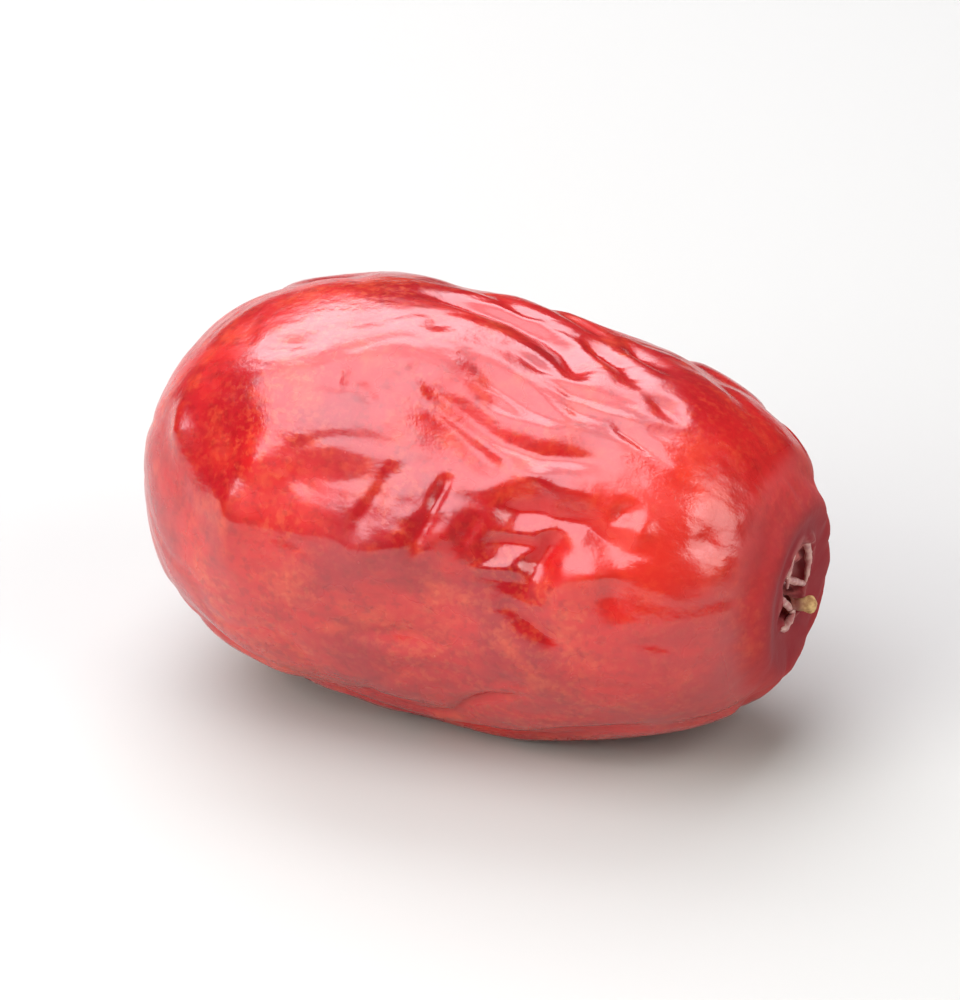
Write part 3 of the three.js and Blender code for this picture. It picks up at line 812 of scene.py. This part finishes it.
def tint(tree, share, under, over):
    """The colour under, covered by the colour over as far as the share says."""
    node = tree.nodes.new("ShaderNodeMix")
    node.data_type = "RGBA"
    join(tree, share, node.inputs["Factor"])
    join(tree, under, [s for s in node.inputs if s.name == "A" and s.type == "RGBA"][0])
    join(tree, over, [s for s in node.inputs if s.name == "B" and s.type == "RGBA"][0])
    return [s for s in node.outputs if s.type == "RGBA"][0]


def new_material(name):
    material = bpy.data.materials.new(name)
    material.use_nodes = True
    tree = material.node_tree
    coordinates = tree.nodes.new("ShaderNodeTexCoord").outputs["Object"]
    return material, tree, tree.nodes["Principled BSDF"], coordinates


def stretched(tree, vector, x, y, z):
    node = tree.nodes.new("ShaderNodeMapping")
    join(tree, vector, node.inputs["Vector"])
    node.inputs["Scale"].default_value = (x, y, z)
    return node.outputs[0]


def noise_field(tree, vector, size, detail, roughness):
    node = place(tree, "ShaderNodeTexNoise", Vector=vector, Scale=1 / size, Detail=detail,
                 Roughness=roughness)
    return Field(tree, node.outputs[0])


def roughen(tree, surface, height, strength, distance):
    """A fine bump of the surface."""
    bump = place(tree, "ShaderNodeBump", Height=height)
    bump.inputs["Strength"].default_value = strength
    bump.inputs["Distance"].default_value = distance
    join(tree, bump.outputs[0], surface.inputs["Normal"])


def skin_material(mottle, speckle):
    """Dried red skin: crimson and scarlet patches, orange specks, painted shade in the folds and on
    their undersides, a painted glow of light on the shoulder and painted shade darkening the stem end's
    basin.
    """
    material, tree, surface, here = new_material("jujube_skin")
    facing_up = parts_of(tree, tree.nodes.new("ShaderNodeTexCoord").outputs["Normal"])[2]

    def patches(size, low, high, detail=3.0, where=here):
        node = use_group(tree, mottle, Place=where, Patch_size=size, Detail=detail, Low=low, High=high)
        return Field(tree, node.outputs["Mask"])

    def dots(spacing, dot_size, cover):
        node = use_group(tree, speckle, Place=here, Spacing=spacing, Dot_size=dot_size, Cover=cover)
        return Field(tree, node.outputs["Mask"])

    # Patches, streaks, freckles and pores all over
    along = stretched(tree, here, 0.4, 1, 1)
    colour = tint(tree, patches(0.008, 0.36, 0.62), CRIMSON, SCARLET)
    warm = patches(0.0035, 0.5, 0.72, detail=5.0)
    colour = tint(tree, warm * 0.6, colour, EMBER)
    streaks = patches(0.0012, 0.45, 0.75, detail=4.0, where=along)
    colour = tint(tree, streaks * 0.35, colour, DARK_STREAK)
    freckled = 0.25 + 0.75 * patches(0.007, 0.40, 0.62)
    blots = patches(0.00055, 0.48, 0.68, detail=2.0)
    freckles = smaller(blots * 0.8 + dots(0.0005, 0.8, 0.35) * 0.5, 1) * freckled
    colour = tint(tree, freckles * 0.4, colour, FRECKLE)
    pores = patches(0.0007, 0.52, 0.70, detail=2.0)
    colour = tint(tree, pores * 0.35, colour, PORE)

    # The redder stem half, a painted glow of light on its shoulder that is partly its own orange, and
    # painted shade in the folds
    along_fruit = parts_of(tree, here)[0]
    colour = tint(tree, ease(along_fruit, *STEM_HALF) * 0.4, colour, STEM_HALF_RED)
    from_shoulder = Field(tree, vector_math(tree, "DISTANCE", here, SHOULDER, output="Value"))
    glow = 1 - ease(from_shoulder, SHOULDER_INNER, SHOULDER_OUTER)
    # Painted glow of light round the shoulder, partly the skin's own orange
    colour = tint(tree, glow * (0.55 + 0.35 * warm), colour, SHOULDER_ORANGE_AND_GLOW)
    valley = attribute_field(tree, "valley")
    # Painted shade in the folds: the deeper the fold, the deeper and darker its red
    colour = tint(tree, ease(valley, 0.1, 0.9) * 0.6, colour, FOLD_SHADE_RED)
    # Painted shade on the downward faces of the folds, in a saturated red; these faces are also rougher
    underside = ease(valley, 0.15, 0.6) * (1 - ease(facing_up, 0.0, 0.4))
    colour = tint(tree, underside * 0.7, colour, UNDERSIDE_SHADE_RED)

    # Painted shade that darkens the basin to purple, the flesh in its pit, the torn lip and the dimple
    # at the other end
    basin = attribute_field(tree, "basin")
    # Painted shade: the basin is darkened to a purple red
    colour = tint(tree, basin * (0.85 + 0.15 * warm), colour, BASIN_SHADE_PURPLE)
    flesh = tint(tree, patches(0.0009, 0.4, 0.6), DARK_FLESH, PALE_FLESH)
    colour = tint(tree, attribute_field(tree, "pit"), colour, flesh)
    lip = attribute_field(tree, "lip")
    torn = patches(0.0016, 0.42, 0.58, detail=2.0)
    colour = tint(tree, ease(lip, 0.3, 0.8) * torn * 0.7, colour, TORN_SKIN)
    colour = tint(tree, attribute_field(tree, "hole"), colour, HOLE_SHADE)
    dimple = attribute_field(tree, "dimple")
    colour = tint(tree, dimple * 0.8, colour, DIMPLE_BROWN)
    join(tree, colour, surface.inputs["Base Color"])

    rough = 0.19 + 0.10 * patches(0.004, 0.35, 0.65) + 0.3 * underside
    rough = rough + 0.7 * ease(along_fruit, *DULL_END) + 0.15 * dimple
    join(tree, rough, surface.inputs["Roughness"])
    surface.inputs["Specular IOR Level"].default_value = 1.0

    grain = noise_field(tree, here, 0.5 * MM, 3.0, 0.6)
    fibres = noise_field(tree, along, 0.9 * MM, 3.0, 0.5)
    roughen(tree, surface, grain * 0.5 + fibres * 0.7 + freckles * 0.15, 0.6, 0.07 * MM)
    return material


def lip_material(mottle):
    """The torn edge of the skin round the pit, pale and a little pink."""
    material, tree, surface, here = new_material("torn_lip")
    node = use_group(tree, mottle, Place=here, Patch_size=0.0007, Detail=3.0, Low=0.38, High=0.62)
    patches = Field(tree, node.outputs["Mask"])
    colour = tint(tree, patches, PINK_EDGE, PALE_EDGE)
    join(tree, colour, surface.inputs["Base Color"])
    join(tree, 0.35 + 0.2 * patches, surface.inputs["Roughness"])
    return material


def stalk_material(mottle):
    """The dry stalk: straw yellow at its broken tip, brown and fibrous towards its foot."""
    material, tree, surface, here = new_material("dry_stalk")
    node = use_group(tree, mottle, Place=here, Patch_size=0.0005, Detail=4.0, Low=0.35, High=0.65)
    patches = Field(tree, node.outputs["Mask"])
    colour = tint(tree, patches, BROWN_STALK, STRAW_STALK)
    along = attribute_field(tree, "along")
    colour = tint(tree, 1 - ease(along, 0.25, 0.7), colour, STALK_FOOT)
    join(tree, colour, surface.inputs["Base Color"])
    join(tree, 0.45 + 0.25 * patches, surface.inputs["Roughness"])
    roughen(tree, surface, noise_field(tree, here, 0.3 * MM, 4.0, 0.6), 0.5, 0.1 * MM)
    return material


def area_light(name, place_at, look_at, size_x, size_y, power, colour):
    light = bpy.data.lights.new(name, "AREA")
    light.shape = "RECTANGLE"
    light.size = size_x
    light.size_y = size_y
    light.energy = power
    light.color = colour
    lamp = bpy.data.objects.new(name, light)
    lamp.location = place_at
    lamp.rotation_euler = (Vector(look_at) - Vector(place_at)).to_track_quat("-Z", "Y").to_euler()
    bpy.context.scene.collection.objects.link(lamp)
    return lamp


def own_to_scene(along, side, rise):
    """A point given along the fruit's own axis, to its side and upwards, in the scene's metres."""
    x = along * math.cos(NOSE_DOWN) + rise * math.sin(NOSE_DOWN)
    z = rise * math.cos(NOSE_DOWN) - along * math.sin(NOSE_DOWN) + HEIGHT / 2 - SINK
    return Vector((x, side, z)) * MM


def stub_tree():
    """A short stalk: a tube that swells to a bead at its broken end, knobbly and closed."""
    tree, given, result = new_tree(
        "stalk stub",
        "GeometryNodeTree",
        [
            ("Start", "NodeSocketVector", None),
            ("End", "NodeSocketVector", None),
            ("Radius", "NodeSocketFloat", STUB_RADIUS * MM),
            ("Steps", "NodeSocketInt", 40),
            ("Sides", "NodeSocketInt", 40),
            ("Roughness depth", "NodeSocketFloat", 0.12 * MM),
            ("Material", "NodeSocketMaterial", None),
        ],
        [("Geometry", "NodeSocketGeometry")],
    )
    line = place(tree, "GeometryNodeCurvePrimitiveLine", Start=given.outputs["Start"],
                 End=given.outputs["End"])
    line = place(tree, "GeometryNodeResampleCurve", Curve=line.outputs[0], Count=given.outputs["Steps"])
    along = Field(tree, tree.nodes.new("GeometryNodeSplineParameter").outputs["Factor"])
    bead = exponential(-(((along - 0.8) / 0.16) ** 2)) * 0.3
    foot = (1 - ease(along, 0, 0.25)) * 0.35
    round_end = ((1 - ease(along, 0.86, 1.03)) + 0.02).math("SQRT")
    swelling = (0.72 + bead + foot) * round_end
    marked = noted(tree, line.outputs[0], "along", along)
    tube = knobbly_tube(tree, given, marked, given.outputs["Radius"], swelling, 0.8 * MM)
    dress(tree, tube, given, result)
    return tree


def edge_tree():
    """Torn edges: knobbly closed tubes along the lines of a mesh, thinner towards their ends."""
    tree, given, result = new_tree(
        "torn edges",
        "GeometryNodeTree",
        [
            ("Lines", "NodeSocketObject", None),
            ("Step", "NodeSocketFloat", 0.12 * MM),
            ("Sides", "NodeSocketInt", 14),
            ("Roughness depth", "NodeSocketFloat", 0.12 * MM),
            ("Material", "NodeSocketMaterial", None),
        ],
        [("Geometry", "NodeSocketGeometry")],
    )
    lines = place(tree, "GeometryNodeObjectInfo", Object=given.outputs["Lines"])
    curves = place(tree, "GeometryNodeMeshToCurve", Mesh=lines.outputs["Geometry"])
    bent = place(tree, "GeometryNodeCurveSplineType", Curve=curves.outputs[0],
                 spline_type="CATMULL_ROM")
    steps = place(tree, "GeometryNodeResampleCurve", Curve=bent.outputs[0], mode="LENGTH")
    join(tree, given.outputs["Step"], steps.inputs["Length"])
    along = Field(tree, tree.nodes.new("GeometryNodeSplineParameter").outputs["Factor"])
    bulge = (along * (1 - along) * 4 + 0.04).math("POWER", 0.35)
    thickness = read_number(tree, "thickness")
    here = tree.nodes.new("GeometryNodeInputPosition").outputs[0]
    lumps = place(tree, "ShaderNodeTexNoise", Vector=here, Scale=1 / (0.9 * MM), Detail=2.0)
    swelling = thickness * bulge * (0.5 + Field(tree, lumps.outputs[0]))
    tube = knobbly_tube(tree, given, steps.outputs[0], 1.0, swelling, 0.5 * MM)
    dress(tree, tube, given, result)
    return tree


def build_torn_edges(mottle, shift):
    points, edges, thickness = [], [], []
    for thick, line in TORN_EDGES:
        first = len(points)
        points += [own_to_scene(TORN_EDGE_ALONG, side, rise) + shift for side, rise in line]
        thickness += [thick * MM] * len(line)
        edges += [(i, i + 1) for i in range(first, len(points) - 1)]
    mesh = bpy.data.meshes.new("edge_lines")
    mesh.from_pydata(points, edges, [])
    mesh.attributes.new("thickness", "FLOAT", "POINT").data.foreach_set("value", thickness)
    lines = bpy.data.objects.new("edge_lines", mesh)
    bpy.context.scene.collection.objects.link(lines)
    torn = grown("torn_edges", edge_tree(), Lines=lines, Material=lip_material(mottle))
    bpy.data.objects.remove(lines)
    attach(torn, "root")
    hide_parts("fruit")


def build_skin(mottle, speckle):
    strokes = fold_strokes(DRAWN_FOLDS + rule_folds() + end_folds())
    skin = grown("jujube_skin", skin_tree(), Folds=strokes, Material=skin_material(mottle, speckle))
    bpy.data.objects.remove(strokes)
    low, high = corners_of(skin)
    cad_low, cad_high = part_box("fruit")
    move = (Vector(cad_low) + Vector(cad_high)) / 2 - (Vector(low) + Vector(high)) / 2
    shift = Vector((move.x, move.y, 0))
    skin.data.transform(Matrix.Translation(shift))
    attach(skin, "root")
    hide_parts("fruit")
    return shift


def build_stub(mottle, shift):
    foot = own_to_scene(*STUB_FOOT) + shift
    tip = own_to_scene(*STUB_TIP) + shift
    stub = grown("stalk_stub", stub_tree(), Start=foot, End=tip, Material=stalk_material(mottle))
    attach(stub, "root")
    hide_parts("stem_stub")


def build_floor():
    bpy.ops.mesh.primitive_plane_add(size=4)
    floor = bpy.context.object
    floor.name = "floor"
    material = bpy.data.materials.new("pale_floor")
    material.use_nodes = True
    surface = material.node_tree.nodes["Principled BSDF"]
    surface.inputs["Base Color"].default_value = PALE_FLOOR
    surface.inputs["Roughness"].default_value = 0.6
    floor.data.materials.append(material)


def build_lights():
    world = bpy.data.worlds.new("studio")
    bpy.context.scene.world = world
    world.use_nodes = True
    world.node_tree.nodes["Background"].inputs["Color"].default_value = (0.9, 0.93, 1, 1)
    world.node_tree.nodes["Background"].inputs["Strength"].default_value = 0.06
    for name, (left, right), (front, back), power_per_area in SOFTBOX_PANELS:
        breadth = right - left
        depth = back - front
        place_at = Vector(((left + right) / 2, (front + back) / 2, SOFTBOX_HEIGHT))
        below = place_at - Vector((0, 0, 1))
        power = power_per_area * breadth * depth
        area_light(name, place_at, below, breadth, depth, power, SOFTBOX_COLOUR)
    # A weaker one from the right and a fill from the front, which leaves no reflection
    area_light("side_glow", (0.46, -0.08, 0.37), (0, 0, 0.02), 0.38, 0.36, 1.3, (1, 0.96, 0.93))
    fill = area_light("fill", (-0.25, -0.45, 0.25), (0, 0, 0.015), 0.4, 0.4, 3.1, (1, 0.97, 0.95))
    fill.visible_glossy = False
    bpy.context.scene.view_settings.view_transform = "Standard"


def build_camera():
    """The camera looks at the fruit as the photograph does, from the front right and above."""
    back = Vector((
        math.sin(CAMERA_AZIMUTH) * math.cos(CAMERA_ELEVATION),
        -math.cos(CAMERA_AZIMUTH) * math.cos(CAMERA_ELEVATION),
        math.sin(CAMERA_ELEVATION)))
    low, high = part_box("fruit")
    middle = (Vector(low) + Vector(high)) / 2
    lens = bpy.data.cameras.new("camera")
    lens.lens = CAMERA_LENS
    lens.clip_start = 0.01
    camera = bpy.data.objects.new("camera", lens)
    camera.location = middle + back * CAMERA_DISTANCE
    camera.rotation_euler = (-back).to_track_quat("-Z", "Y").to_euler()
    bpy.context.scene.collection.objects.link(camera)
    bpy.context.scene.camera = camera


mottle = mottle_group()
speckle = speckle_group()
placed_by = build_skin(mottle, speckle)
build_torn_edges(mottle, placed_by)
build_stub(mottle, placed_by)
build_floor()
build_lights()
build_camera()
